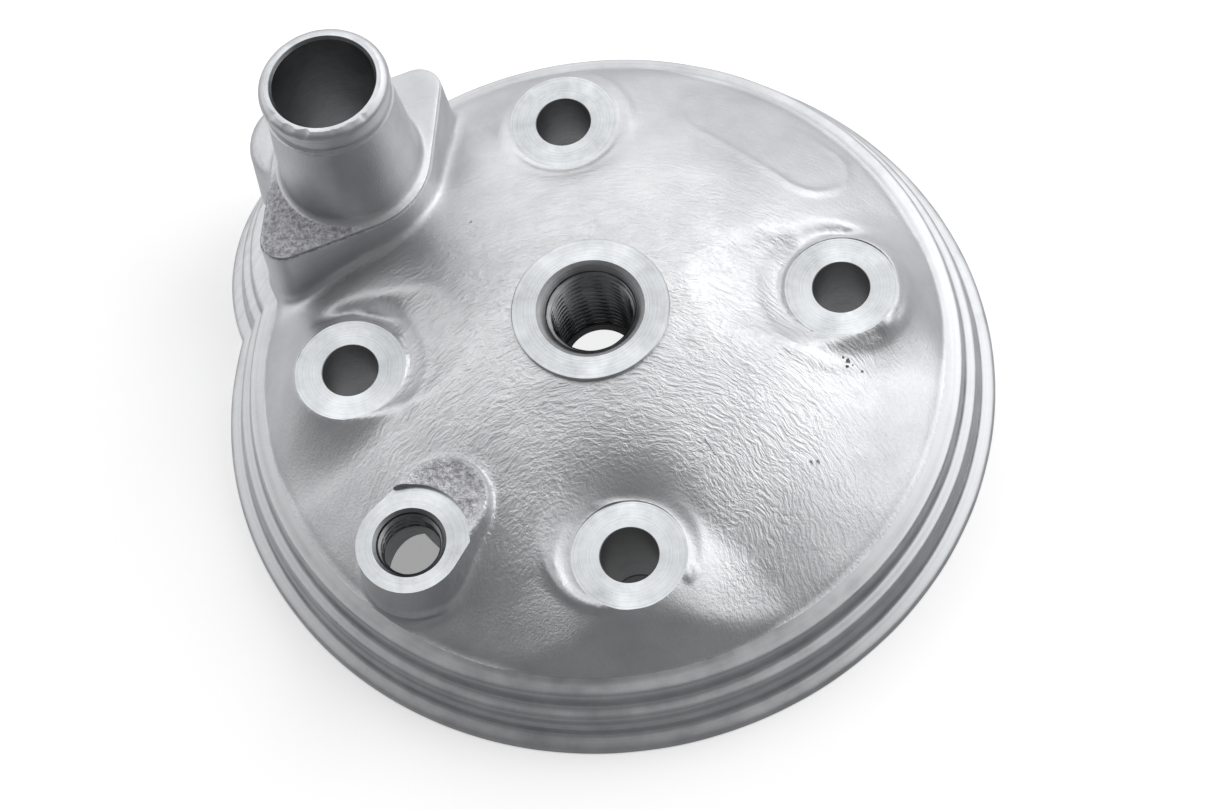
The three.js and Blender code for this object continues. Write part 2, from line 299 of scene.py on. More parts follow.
def castSkin():  # sand-cast and tumbled aluminium: dull and leathery, its colour painted darker in the wrinkles' hollows as shade and paler on their crests
    material, tree = emptyMaterial("cast aluminium skin")
    place = node(tree, "ShaderNodeTexCoord").outputs["Object"]
    stray = castFinish["drift"] * mm
    drift = node(tree, "ShaderNodeTexNoise", {"Scale": 1 / stray, "Detail": 2}, {"Vector": place})
    # wrinkles run round the front boss: squeezed outward, long the other way
    swirl = [v * mm for v in castFinish["swirl"]]
    arm = node(tree, "ShaderNodeVectorMath", {1: swirl + [0]}, {0: place}, operation="SUBTRACT").outputs[0]
    flat = node(tree, "ShaderNodeVectorMath", {1: (1, 1, 0)}, {0: arm}, operation="MULTIPLY").outputs[0]
    outward = node(tree, "ShaderNodeVectorMath", {}, {0: flat}, operation="NORMALIZE").outputs[0]
    radius = node(tree, "ShaderNodeVectorMath", {}, {0: flat}, operation="LENGTH").outputs["Value"]
    across = node(tree, "ShaderNodeMath", {1: castFinish["wrinkleRun"]}, {0: radius},
                  operation="MULTIPLY").outputs[0]
    step = node(tree, "ShaderNodeCombineXYZ", {}, {2: across}).outputs[0]
    run = castFinish["swirlArm"] * mm
    along = node(tree, "ShaderNodeVectorMath", {"Scale": run}, {0: outward}, operation="SCALE").outputs[0]
    joined = node(tree, "ShaderNodeVectorMath", {}, {0: along, 1: step}, operation="ADD").outputs[0]
    sway = node(tree, "ShaderNodeVectorMath", {"Scale": stray}, {0: drift.outputs["Color"]}, operation="SCALE")
    folded = node(tree, "ShaderNodeVectorMath", {}, {0: joined, 1: sway.outputs[0]}, operation="ADD").outputs[0]
    pitch = 1 / (castFinish["wrinkle"] * castFinish["wrinkleRun"] * mm)
    wrinkle = node(tree, "ShaderNodeTexNoise", {"Scale": pitch, "Detail": 3, "Roughness": 0.6},
                   {"Vector": folded}).outputs["Fac"]
    # the middle and the front are wrinkled, the outside is smooth
    middle = node(tree, "ShaderNodeVectorMath", {1: [v * mm for v in castFinish["middle"]]}, {0: place},
                  operation="DISTANCE")
    patch = node(tree, "ShaderNodeMath", {1: castFinish["driftShare"]},
                 {0: drift.outputs["Fac"], 2: middle.outputs["Value"]}, operation="MULTIPLY_ADD").outputs[0]
    first, last = castFinish["wrinkledTo"]
    wrinkled = node(tree, "ShaderNodeMapRange", {1: first, 2: last, 3: 1.0, 4: castFinish["smoothLeft"]},
                    {0: patch}, interpolation_type="SMOOTHSTEP").outputs[0]
    sand = 1 / (castFinish["grain"] * mm)
    grain = node(tree, "ShaderNodeTexNoise", {"Scale": sand, "Detail": 3, "Roughness": 0.65},
                 {"Vector": place}).outputs["Fac"]
    frontGap = node(tree, "ShaderNodeVectorMath", {1: [v * mm for v in castFinish["rubbedAt"]]}, {0: place},
                    operation="DISTANCE")
    near, far, left = castFinish["rubbed"]
    rubbed = node(tree, "ShaderNodeMapRange", {1: near * mm, 2: far * mm, 3: left, 4: 1.0},
                  {0: frontGap.outputs["Value"]}, interpolation_type="SMOOTHSTEP").outputs[0]
    wrinkled = node(tree, "ShaderNodeMath", {}, {0: wrinkled, 1: rubbed}, operation="MULTIPLY").outputs[0]
    bumps = node(tree, "ShaderNodeMath", {}, {0: wrinkle, 1: wrinkled}, operation="MULTIPLY").outputs[0]
    spots = []
    for centre, inner, outer in castFinish["sandy"]:
        gap = node(tree, "ShaderNodeVectorMath", {1: [v * mm for v in centre]}, {0: place},
                   operation="DISTANCE").outputs["Value"]
        spots.append(node(tree, "ShaderNodeMapRange", {1: inner * mm, 2: outer * mm, 3: 1.0, 4: 0.0},
                          {0: gap}).outputs[0])
    sandy = node(tree, "ShaderNodeMath", {}, {0: spots[0], 1: spots[1]}, operation="MAXIMUM").outputs[0]
    facing = node(tree, "ShaderNodeNewGeometry").outputs["Normal"]
    upright = node(tree, "ShaderNodeSeparateXYZ", {}, {0: facing}).outputs[2]
    flatTop = node(tree, "ShaderNodeMapRange", {1: 0.9, 2: 0.97}, {0: upright}).outputs[0]
    sandy = node(tree, "ShaderNodeMath", {}, {0: sandy, 1: flatTop}, operation="MULTIPLY").outputs[0]
    grit = node(tree, "ShaderNodeMath", {1: 1.3, 2: 0.2}, {0: sandy}, operation="MULTIPLY_ADD").outputs[0]
    height = node(tree, "ShaderNodeMath", {}, {0: grain, 1: grit, 2: bumps}, operation="MULTIPLY_ADD")
    relief = node(tree, "ShaderNodeBump", {"Strength": 1, "Distance": castFinish["depth"] * mm},
                  {"Height": height.outputs[0]})
    patches = 1 / (castFinish["mottle"] * mm)
    cloud = node(tree, "ShaderNodeTexNoise", {"Scale": patches, "Detail": 5, "Roughness": 0.6},
                 {"Vector": place}).outputs["Fac"]
    # painted shade: the colour darkens in the wrinkles' hollows, mixed with random cloudy mottle
    shade = node(tree, "ShaderNodeMath", {1: 0.5}, {0: bumps, 2: cloud}, operation="MULTIPLY_ADD").outputs[0]
    colour = node(tree, "ShaderNodeValToRGB", {}, {0: shade})
    colour.color_ramp.elements[0].position = 0.3
    colour.color_ramp.elements[0].color = linear(castFinish["dark"])
    colour.color_ramp.elements[1].position = 0.8
    colour.color_ramp.elements[1].color = linear(castFinish["light"])
    dots = 1 / (castFinish["blotch"] * mm)
    blotch = node(tree, "ShaderNodeTexNoise", {"Scale": dots, "Detail": 4, "Roughness": 0.7}, {"Vector": place})
    blotched = node(tree, "ShaderNodeMapRange", {1: 0.36, 2: 0.62}, {0: blotch.outputs["Fac"]}).outputs[0]
    dusty = node(tree, "ShaderNodeMath", {}, {0: sandy, 1: blotched}, operation="MULTIPLY").outputs[0]
    tint = node(tree, "ShaderNodeMix", {7: linear(castFinish["rough"])}, {0: dusty, 6: colour.outputs[0]},
                data_type="RGBA").outputs[2]
    gloss = node(tree, "ShaderNodeMapRange", {1: 0.3, 2: 0.7, 3: 0.39, 4: 0.5}, {0: grain}).outputs[0]
    shader = node(tree, "ShaderNodeBsdfPrincipled", {"Metallic": 1.0},
                  {"Base Color": tint, "Roughness": gloss, "Normal": relief.outputs[0]})
    node(tree, "ShaderNodeOutputMaterial", {}, {"Surface": shader.outputs[0]})
    return material


metals = {  # name: dark and light, roughness, mm from one tool ring to the next, mm deep
    "face-turned aluminium": ("#ACAFB2", "#D9DCDF", 0.3, 0.22, 0.012),  # bright, with fine rings
    "drilled aluminium with painted bore shade": ("#737476", "#9A9B9D", 0.42, 0.35, 0.02),  # duller, with coarser rings; its colour is painted darker than the faced metal as shade in the bores
    "turned and tumbled rim": ("#C0C1C4", "#DCDDDF", 0.44, 0.6, 0.01),  # rings worn soft by tumbling
    "tapped steel": ("#626365", "#949597", 0.32, 0.3, 0.01),  # darker than the aluminium round it
}
smearScale = 170  # worn patches about 6 mm across


def turnedMetal(name, dark, light, roughness, pitch, depth):  # fine rings left by the tool round its own axis
    material, tree = emptyMaterial(name)
    place = node(tree, "ShaderNodeTexCoord").outputs["Object"]
    axis = node(tree, "ShaderNodeAttribute", attribute_name="toolAxis").outputs["Vector"]
    arm = node(tree, "ShaderNodeVectorMath", {}, {0: place, 1: axis}, operation="SUBTRACT").outputs[0]
    split = node(tree, "ShaderNodeSeparateXYZ", {}, {0: arm})
    flat = node(tree, "ShaderNodeCombineXYZ", {}, {0: split.outputs[0], 1: split.outputs[1]}).outputs[0]
    radius = node(tree, "ShaderNodeVectorMath", {}, {0: flat}, operation="LENGTH").outputs["Value"]
    feed = node(tree, "ShaderNodeMath", {}, {0: radius, 1: split.outputs[2]}, operation="ADD")
    steps = node(tree, "ShaderNodeMath", {1: 1 / (pitch * mm)}, {0: feed.outputs[0]}, operation="MULTIPLY")
    rings = node(tree, "ShaderNodeTexNoise", {"Scale": 1, "Detail": 3, "Roughness": 0.7},
                 {"W": steps.outputs[0]}, noise_dimensions="1D")
    smear = node(tree, "ShaderNodeTexNoise", {"Scale": smearScale, "Detail": 4, "Roughness": 0.65},
                 {"Vector": place})
    wear = node(tree, "ShaderNodeMath", {1: 0.5}, {0: rings.outputs["Fac"], 2: smear.outputs["Fac"]},
                operation="MULTIPLY_ADD")
    colour = node(tree, "ShaderNodeValToRGB", {}, {0: wear.outputs[0]})
    colour.color_ramp.elements[0].position = 0.5
    colour.color_ramp.elements[0].color = linear(dark)
    colour.color_ramp.elements[1].position = 0.95
    colour.color_ramp.elements[1].color = linear(light)
    relief = node(tree, "ShaderNodeBump", {"Strength": 1, "Distance": depth * mm},
                  {"Height": rings.outputs["Fac"]})
    gloss = node(tree, "ShaderNodeMapRange", {1: 0.3, 2: 0.75, 3: roughness * 0.85, 4: roughness * 1.2},
                 {0: smear.outputs["Fac"]})
    around = node(tree, "ShaderNodeVectorMath", {1: (0, 0, 1)}, {0: arm}, operation="CROSS_PRODUCT").outputs[0]
    shader = node(tree, "ShaderNodeBsdfPrincipled", {"Metallic": 1.0, "Anisotropic": 0.7},
                  {"Base Color": colour.outputs[0], "Roughness": gloss.outputs[0], "Normal": relief.outputs[0],
                   "Tangent": around})
    node(tree, "ShaderNodeOutputMaterial", {}, {"Surface": shader.outputs[0]})
    return material


nitrile = {"dark": "#1B1B1C", "light": "#3A3A3B", "grain": 0.3, "depth": 0.01, "talcScale": 240}


def rubber():  # moulded nitrile: near black, dull, with a little talc in its grain
    material, tree = emptyMaterial("moulded nitrile rubber")
    place = node(tree, "ShaderNodeTexCoord").outputs["Object"]
    grain = node(tree, "ShaderNodeTexNoise", {"Scale": 1 / (nitrile["grain"] * mm), "Detail": 3},
                 {"Vector": place})
    talc = node(tree, "ShaderNodeTexNoise", {"Scale": nitrile["talcScale"], "Detail": 5}, {"Vector": place})
    colour = node(tree, "ShaderNodeValToRGB", {}, {0: talc.outputs["Fac"]})
    colour.color_ramp.elements[0].color = linear(nitrile["dark"])
    colour.color_ramp.elements[1].color = linear(nitrile["light"])
    relief = node(tree, "ShaderNodeBump", {"Strength": 1, "Distance": nitrile["depth"] * mm},
                  {"Height": grain.outputs["Fac"]})
    shader = node(tree, "ShaderNodeBsdfPrincipled", {"Roughness": 0.55, "IOR": 1.52},
                  {"Base Color": colour.outputs[0], "Normal": relief.outputs[0]})
    node(tree, "ShaderNodeOutputMaterial", {}, {"Surface": shader.outputs[0]})
    return material


finishIndex = {"skin": 0, "faced": 1, "drilled": 2, "rim": 3}  # the casting's material slots
blank = {
    "step": 0.55,  # of the grid that the skin is drawn on
    "low": (-67, -67, -3),  # the grid's corners
    "high": (67, 67, 52.5),
    "apex": 27.6,
    "ballRadius": 102.6,
    "foot": 11.4,
    "spare": 1.5,  # metal left outside the finished rim
    "swell": (15.5, 4, 0.5, 30),  # the skin stands higher beside the plug's seat: x, y, height and spread
    "shoulder": 8.15,  # inset from the rim's edge, where the rim's steps end
    "shoulderRise": (1.45, 1.76),  # steepest rise inward from there for each mm, and that slope's length
}
fillets = {
    "ear": 3, "boss": 4.5, "bossEdge": 0.4, "shoulder": 1,
    "sensor": 1.4, "neck": 1.6, "flange": 2.2, "lug": 2.5,
}
ear = {"offset": 40.6, "radius": 32.7, "apex": 16.2, "ballRadius": 68}
diagonal = math.sqrt(0.5)


def onDiagonal(reach, sideX, sideY):
    return (sideX * reach * diagonal, sideY * reach * diagonal)


earCentre = onDiagonal(ear["offset"], -1, 1)
outletCentre = onDiagonal(49.5, -1, 1)
lugCentre = onDiagonal(60.9, -1, 1)
lugCoreCentre = onDiagonal(63.9, -1, 1)
sensorCentre = onDiagonal(46.3, -1, -1)
seatHeight = mounts["stud_seat_front"][2]
plugHeight = mounts["plug_seat"][2]
sensorHeight = mounts["sensor_seat"][2]
mouthHeight = mounts["outlet_mouth"][2]

# each stud's place; its cast boss, off centre, with its draft; the pocket sunk round it; and the dents and
# ridges beside it, as direction in degrees, half their spread, distance from the stud, width and height
studs = [
    {"place": (39.5, 0), "boss": 9.2, "shift": (0.2, 0.1), "draft": 0.7, "pocket": 9.7,
     "pocketShift": (-1.8, 1.7), "sunk": 1.0, "edge": 0.8, "flare": 1.8,
     "marks": [(205, 75, 13.6, 1.3, 0.3), (-20, 60, 10.7, 0.6, 0.3), (-52, 9, 9.9, 0.8, 0.6),
               (88, 24, 11.3, 1.4, -1.6)]},
    {"place": (0, 39.5), "boss": 9.2, "shift": (0, -0.3), "draft": 1.4, "pocket": 9.0,
     "pocketShift": (0, -0.3), "sunk": 0.1, "edge": 1.6, "flare": 1.0,
     "marks": [(265, 60, 10.6, 0.7, 0.3), (20, 40, 11.2, 0.8, 0.25)]},
    {"place": (-39.5, 0), "boss": 9.1, "shift": (-0.1, 0), "draft": 0.9, "pocket": 9.6,
     "pocketShift": (1.2, 2.2), "sunk": 1.6, "edge": 0.4, "flare": 1.8,
     "marks": [(-10, 50, 12.6, 0.8, 0.25), (74, 36, 11.6, 1.6, -1.9)]},
    {"place": (0, -39.5), "boss": 9.1, "shift": (0, 0), "draft": 1.4, "pocket": 8.7,
     "pocketShift": (0.2, 0.3), "sunk": 0.1, "edge": 2.6, "flare": 1.6,
     "marks": [(8, 34, 11.2, 0.7, 0.2), (-28, 7, 9.8, 0.7, 0.8)], "crescent": (-3.0, 0.5)},
]
bossShape = {"faced": 8.95, "proud": 0.4, "corner": 0.6}
crescent = {"lip": 0.6, "lipInset": 0.7, "lipWidth": 0.6, "draft": 0.1, "below": 0.1}
panel = {"centre": 45.4, "half": 9.6, "end": 5.8, "line": 0.65, "height": 0.3}  # blank, with a raised outline


def distanceTo(x, y, centre):
    return np.sqrt((x - centre[0]) ** 2 + (y - centre[1]) ** 2)


def pocketField(stud, x, y, z):
    centre = [p + q for p, q in zip(stud["place"], stud["pocketShift"])]
    flare = stud["flare"]
    wall = (distanceTo(x, y, centre) - stud["pocket"] - (z - seatHeight) * flare) / math.hypot(1, flare)
    return softMax(wall, seatHeight - stud["sunk"] - z, bossShape["corner"])


def bossField(stud, x, y, z):
    centre = [p + q for p, q in zip(stud["place"], stud["shift"])]
    wall = distanceTo(x, y, centre) - stud["boss"] - (seatHeight - z) * stud["draft"]
    boss = softMax(wall, z - seatHeight - bossShape["proud"], bossShape["corner"])
    if "crescent" in stud:  # a ledge with a raised lip beside the seat
        beside = [p + q for p, q in zip(stud["place"], stud["crescent"])]
        edge = distanceTo(x, y, beside) - stud["boss"]
        lip = crescent["lip"] * np.exp(-(((edge + crescent["lipInset"]) / crescent["lipWidth"]) ** 2))
        top = z - seatHeight + crescent["below"] - lip
        ledge = softMax(edge - (seatHeight - z) * crescent["draft"], top, fillets["bossEdge"])
        boss = np.minimum(boss, ledge)
    return boss


def marksField(stud, x, y):  # the ridges and dents that the pattern left beside a boss
    dx, dy = x - stud["place"][0], y - stud["place"][1]
    reach = np.sqrt(dx * dx + dy * dy)
    heading = np.degrees(np.arctan2(dy, dx))
    total = 0
    for direction, spread, distance, width, height in stud["marks"]:
        off = (heading - direction + 180) % 360 - 180
        total = total + height * np.exp(-((reach - distance) / width) ** 2) * np.exp(-((off / spread) ** 4))
    return total


def panelField(x, y):
    along = np.abs(x - y) * diagonal
    across = (x + y) * diagonal - panel["centre"]
    off = np.sqrt(np.maximum(along - panel["half"], 0) ** 2 + across ** 2) - panel["end"]
    outward, sideways = np.tanh(across / 3), np.tanh(((x - y) * diagonal - 8) / 4)
    worn = 0.65 - 0.35 * outward + 0.3 * sideways  # faint on its outer side
    return panel["height"] * worn * np.exp(-((off / panel["line"]) ** 2)) * (x + y > 0)


def capOf(shape, radius, z):  # the top of a ball
    return np.sqrt(radius ** 2 + (z - shape["apex"] + shape["ballRadius"]) ** 2) - shape["ballRadius"]


def castField(x, y, z):
    radius = distanceTo(x, y, (0, 0))
    earRadius = distanceTo(x, y, earCentre)
    swellX, swellY, swell, spread = blank["swell"]
    cap = capOf(blank, radius, z) - swell * np.exp(-((x - swellX) ** 2 + (y - swellY) ** 2) / spread)
    cap = np.maximum(cap - panelField(x, y), radius - rimRadius - 1)
    earCap = np.maximum(capOf(ear, earRadius, z), earRadius - ear["radius"] - 1)
    body = softMin(cap, earCap, fillets["ear"])
    for stud in studs:
        boss = bossField(stud, x, y, z)
        body = softMin(body, boss, fillets["boss"])
        body = softMax(body, -pocketField(stud, x, y, z), stud["edge"])
        body = softMin(body, boss, fillets["bossEdge"]) - marksField(stud, x, y)
    inset = np.maximum(rimRadius - radius, ear["radius"] - earRadius)
    rise, length = blank["shoulderRise"]
    shoulder = (z - blank["foot"] - (inset - blank["shoulder"]) * rise) / length
    body = softMax(body, shoulder, fillets["shoulder"])  # no boss reaches out over the rim
    body = np.minimum(body, np.maximum(-inset - blank["spare"], z - blank["foot"]))
    body = softMin(body, sensorField(x, y, z), fillets["sensor"])
    outlet = softMin(flangeField(x, y, z), neckField(x, y, z), fillets["neck"])
    body = softMin(body, outlet, fillets["flange"])
    return np.maximum(body, -1.6 - z)


def capsule(along, across, length, bigRadius, smallRadius):  # two circles joined by straight sides
    lean = (bigRadius - smallRadius) / length
    side = math.sqrt(1 - lean * lean)
    aim = -lean * across + side * along
    wall = side * across + lean * along - bigRadius
    big = np.sqrt(across ** 2 + along ** 2) - bigRadius
    small = np.sqrt(across ** 2 + (along - length) ** 2) - smallRadius
    return np.where(aim < 0, big, np.where(aim > side * length, small, wall))


sensor = {
    "length": 8.4,  # between the centres of its outer and inner ends
    "outer": 8.3,
    "inner": 7.2,
    "draft": 0.05,
    "over": 0.75,  # metal above the finished face
    "lip": 0.45,
    "foot": 0.5,
    "footHeight": 15.2,
}


def sensorField(x, y, z):
    along = ((x - sensorCentre[0]) + (y - sensorCentre[1])) * diagonal
    across = np.abs((x - sensorCentre[0]) - (y - sensorCentre[1])) * diagonal
    wall = capsule(along, across, sensor["length"], sensor["outer"], sensor["inner"])
    lip = sensor["lip"] * np.exp(-(((wall + 0.7) / 0.6) ** 2))
    foot = sensor["foot"] * np.exp(-(((z - sensor["footHeight"]) / 0.8) ** 2))
    side = wall - (sensorHeight - z) * sensor["draft"] - foot
    return softMax(side, z - sensorHeight - sensor["over"] - lip, 0.5)


flange = {"top": 26.5, "middle": 13.3, "lobe": 4, "spread": 17.2, "draft": 0.052, "step": 0.3, "stepDrop": 0.62}
neck = {"foot": 11.6, "taper": 0.0757, "collar": 10.9, "collarFrom": 45.2, "from": 6, "over": 0.8}
lug = {
    "radius": 9,
    "top": 24,
    "draft": 0.08,
    "crown": 1.8,
    "sunk": 0.25,
    "low": (-56, 28, -3),  # its grid's corners
    "high": (-28, 56, 28),
}


def flangeField(x, y, z):
    along = np.abs((x - outletCentre[0]) + (y - outletCentre[1])) * diagonal
    across = np.abs((x - outletCentre[0]) - (y - outletCentre[1])) * diagonal
    outline = capsule(along, across, flange["spread"], flange["middle"], flange["lobe"])
    return softMax(outline - (flange["top"] - z) * flange["draft"], z - flange["top"], 0.5)


def neckField(x, y, z):
    radius = distanceTo(x, y, outletCentre)
    cone = radius - neck["foot"] + (z - flange["top"]) * neck["taper"]
    collar = np.maximum(radius - neck["collar"], neck["collarFrom"] - z)
    return np.maximum(np.minimum(cone, collar), np.maximum(z - mouthHeight - neck["over"], neck["from"] - z))


def lugField(x, y, z):  # the lug, with the fillet between it and the flange
    radius = distanceTo(x, y, lugCentre)
    column = softMax(radius - lug["radius"] - (lug["top"] - z) * lug["draft"], z - lug["top"], lug["crown"])
    return np.maximum(softMin(column, flangeField(x, y, z) + lug["sunk"], fillets["lug"]), -1.5 - z)


jacket = {
    "step": 0.95,  # of its grid
    "low": (-58, -58, -3.5),
    "high": (58, 58, 25),
    "wall": 4.2,  # between the water and the dome's skin
    "outer": 54.1,
    "inner": 31.2,  # at its foot, where the chamber's wall leans inward
    "innermost": 16,
    "lean": (6.5, 0.72, 1.23),  # where the lean starts, its rise for each mm, and that slope's length
    "column": 8.2,  # round each stud
    "shelf": 12.2,  # under each seat
    "shelfBelow": 4.4,
}


def jacketField(x, y, z):  # the water space, open below
    radius = distanceTo(x, y, (0, 0))
    start, rise, length = jacket["lean"]
    inset = jacket["inner"] - radius
    inside = np.minimum(inset + z * 0, (start + inset * rise - z) / length)
    inside = softMax(inside, jacket["innermost"] - radius + z * 0, 2)
    outside = softMax(radius - jacket["outer"] + z * 0, capOf(blank, radius, z) + jacket["wall"], 3)
    space = softMax(inside, outside, 1.5)
    for stud in studs:
        reach = distanceTo(x, y, stud["place"])
        column = reach - jacket["column"] + z * 0
        shelf = np.maximum(reach - jacket["shelf"], seatHeight - jacket["shelfBelow"] - z)
        space = softMax(space, -softMin(column, shelf, 3), 2)
    return np.maximum(space, -2.2 - z)


folds = {
    "dent": 8,  # mm across
    "dentDepth": 0.07,
    "apart": 2.1,  # mm outward from one larger wrinkle to the next
    "around": 5,  # how often they break off on the way round
    "depth": 0.03,
    "middle": (4, -16),  # the most wrinkled place
    "reach": 48,  # they are faint from here on
    "fade": 22,
    "least": 0.1,
}


def wrinkleSkin(casting):  # the tumbled skin: shallow dents and the larger wrinkles
    mesh = casting.data
    count = len(mesh.vertices)
    places = np.zeros(count * 3, np.float32)
    mesh.vertices.foreach_get("co", places)
    normals = np.zeros(count * 3, np.float32)
    mesh.vertex_normals.foreach_get("vector", normals)
    places, normals = places.reshape(-1, 3), normals.reshape(-1, 3)
    radius = np.hypot(places[:, 0], places[:, 1])
    middle = np.sqrt((places[:, 0] - folds["middle"][0]) ** 2 + (places[:, 1] - folds["middle"][1]) ** 2)
    share = np.clip((folds["reach"] - middle) / folds["fade"], folds["least"], 1)
    depth = np.zeros(count, np.float32)
    for i, (x, y, z) in enumerate(places.tolist()):
        r = radius[i] + 1e-6
        dent = noise.noise((x / folds["dent"], y / folds["dent"], z / folds["dent"]))
        turnX, turnY = x / r * folds["around"], y / r * folds["around"]
        fold = noise.noise((turnX + dent, turnY, r / folds["apart"] + dent * 1.5))
        depth[i] = dent * folds["dentDepth"] + fold * folds["depth"] * share[i]
    mesh.vertices.foreach_set("co", (places + normals * depth[:, None]).ravel())


rimTurns = 720
rimSteps = [  # inset from the rim's edge, and height, before the corners are tumbled round
    (0, 0.3), (0.2, 0.9), (1.2, 1.45), (2.2, 1.85), (2.4, 2.3), (2.5, 3.9), (2.85, 4.3), (3.0, 4.9), (3.1, 6.1),
    (3.5, 6.6), (4.7, 7.0), (5.1, 7.5), (5.3, 9.8), (5.6, 10.45), (6.4, 10.75), (7.3, 11.0), (8.15, 11.45),
]


def tumbled(profile, passes=2):  # cuts each corner of an open line, so that it ends up round
    for _ in range(passes):
        cut = [profile[0]]
        for (a, b), (c, d) in zip(profile, profile[1:]):
            cut += [(a * 0.75 + c * 0.25, b * 0.75 + d * 0.25), (a * 0.25 + c * 0.75, b * 0.25 + d * 0.75)]
        profile = cut + [profile[-1]]
    return profile


def rimReach(inset, turn):  # from the bore's axis to the rim, which swells round the ear
    lean = turn - math.radians(135)
    side = ear["offset"] * math.sin(lean)
    earRadius = ear["radius"] - inset
    reach = rimRadius - inset
    if abs(side) < earRadius and math.cos(lean) > 0:
        reach = max(reach, ear["offset"] * math.cos(lean) + math.sqrt(earRadius ** 2 - side ** 2))
    return reach


def rimTool():  # what the lathe and the mould take away outside the rim
    turns = np.linspace(0, 2 * math.pi, rimTurns, endpoint=False).tolist()
    outside, top = -18, 14
    section = [(outside, -4), (0, -4)] + tumbled(rimSteps) + [(blank["shoulder"], top), (outside, top)]
    loops = []
    for turn in turns:
        waver = 0.03 * noise.noise((math.cos(turn) * 9, math.sin(turn) * 9, 0))
        reach = [rimReach(inset, turn) for inset, _ in section]
        loops.append([
            ((r + waver) * math.cos(turn), (r + waver) * math.sin(turn), z) for r, (_, z) in zip(reach, section)
        ])
    return skinned("rimTool", loops, finishIndex["rim"])


def joinedTools(name, tools):
    work = bmesh.new()
    for tool in tools:
        work.from_mesh(tool.data)
        bpy.data.objects.remove(tool)
    mesh = bpy.data.meshes.new(name)
    work.to_mesh(mesh)
    work.free()
    made = bpy.data.objects.new(name, mesh)
    scene.collection.objects.link(made)
    return made


faces = {  # radius of each faced spot, and the room that its cutter takes above it
    "stud": (bossShape["faced"], bossShape["faced"] + 0.2, 9),
    "sensor": (9.4, 9.4, 4),
    "plug": (15.5, 16, 5),
    "mouth": (13, 13, 4),
}


def facingTool(name, kind, height, centre, segments):
    radius, topRadius, room = faces[kind]
    profile = [(0, height), (radius, height), (topRadius, height + room), (0, height + room)]
    return turned(name, profile, centre, segments, finishIndex["faced"])


def facingTools():
    tools = [facingTool("spotFace", "stud", seatHeight, stud["place"], 96) for stud in studs]
    tools.append(facingTool("sensorFace", "sensor", sensorHeight, sensorCentre, 96))
    tools.append(facingTool("plugFace", "plug", plugHeight, (0, 0), 160))
    tools.append(facingTool("mouthFace", "mouth", mouthHeight, outletCentre, 96))
    return joinedTools("facing", tools)


bead = {"segments": 240, "chips": 7, "chipDepth": 0.8}


def lipTool():  # turns the bead that holds the hose, and the relief below it; the bead's front edge is chipped
    loops = []
    for i in range(bead["segments"]):
        turn = 2 * math.pi * i / bead["segments"]
        spot = (math.cos(turn) * bead["chips"], math.sin(turn) * bead["chips"], 3)
        chip = max(0, noise.noise(spot)) * bead["chipDepth"]
        chip *= 0.6 - 0.4 * math.sin(turn + 0.6)
        profile = [
            (9.25 - chip, 51.5), (9.25 - chip, 50.0), (9.7 - chip * 0.8, 49.82), (10.1 - chip * 0.4, 49.5),
            (10.33, 49.1), (10.4, 48.7), (10.38, 48.4), (10.2, 48.12), (9.9, 48.0), (9.85, 45.5), (10.1, 45.1),
            (11.6, 44.8), (14, 44.8), (14, 51.5),
        ]
        loops.append([
            (outletCentre[0] + r * math.cos(turn), outletCentre[1] + r * math.sin(turn), z) for r, z in profile
        ])
    return skinned("lipTool", loops, finishIndex["rim"])


def flangeStepTool():  # the witness of the mould's joint: a step round the flange's top edge
    step, drop, wide = flange["step"], flange["stepDrop"], 2.5
    lean = math.asin((flange["middle"] - flange["lobe"]) / flange["spread"])
    side = math.pi / 2 - lean
    arcs = [(flange["spread"], flange["lobe"], -side, side), (0, flange["middle"], side, math.pi - side),
            (-flange["spread"], flange["lobe"], math.pi - side, math.pi + side),
            (0, flange["middle"], math.pi + side, 2 * math.pi - side)]
    turn = math.radians(45)
    loops = []
    for centre, radius, first, last in arcs:
        for angle in np.linspace(first, last, 24).tolist():
            loop = []
            for r, z in ((radius - step, flange["top"] - drop), (radius + wide, flange["top"] - drop),
                         (radius + wide, flange["top"] + 3), (radius - step, flange["top"] + 3)):
                u, v = centre + r * math.cos(angle), r * math.sin(angle)
                loop.append((outletCentre[0] + u * math.cos(turn) - v * math.sin(turn),
                             outletCentre[1] + u * math.sin(turn) + v * math.cos(turn), z))
            loops.append(loop)
    return skinned("flangeStep", loops)


bores = {  # outlines as (radius, height)
    "segments": {"chamber": 160, "stud": 80, "sensor": 80, "outlet": 120, "lugCore": 48},
    "squish": [(0, -3), (23.8, -3), (23.8, 0.9)],
    "bowl": (16.6, 1.8, 7.7, 1.22),  # radius and height of its edge, its depth, and its arc
    "throat": [(6.4, 9.9), (6.4, 10.2), (7.23, 10.2), (7.23, 26.5), (7.5, 26.8), (7.8, 27.1), (8.15, 27.35),
               (8.6, 27.5), (9, 31), (0, 31)],
    "stud": [(0, -3), (6.9, -3), (6.9, 2.1), (4.5, 2.1), (4.5, 20.48), (4.62, 20.6), (4.62, 25), (0, 25)],
    "sensor": [(0, 5), (5.5, 5), (5.5, 17), (4.8, 18), (4.8, 18.7), (5.23, 18.7), (5.23, 23.05), (5.75, 23.5),
               (5.75, 28), (0, 28)],
    "outlet": [(0, 5), (8.15, 5), (8.15, 49.5), (8.55, 50), (8.55, 54), (0, 54)],
    "lugCore": [(0, -3), (4.5, -3), (3.8, 14), (3.2, 15), (0, 15)],
    "grooves": [(27.7, 160), (58.1, 240)],  # radius of the middle line, and segments
    "grooveHalf": 1.45,
    "grooveTop": 2.6,
}


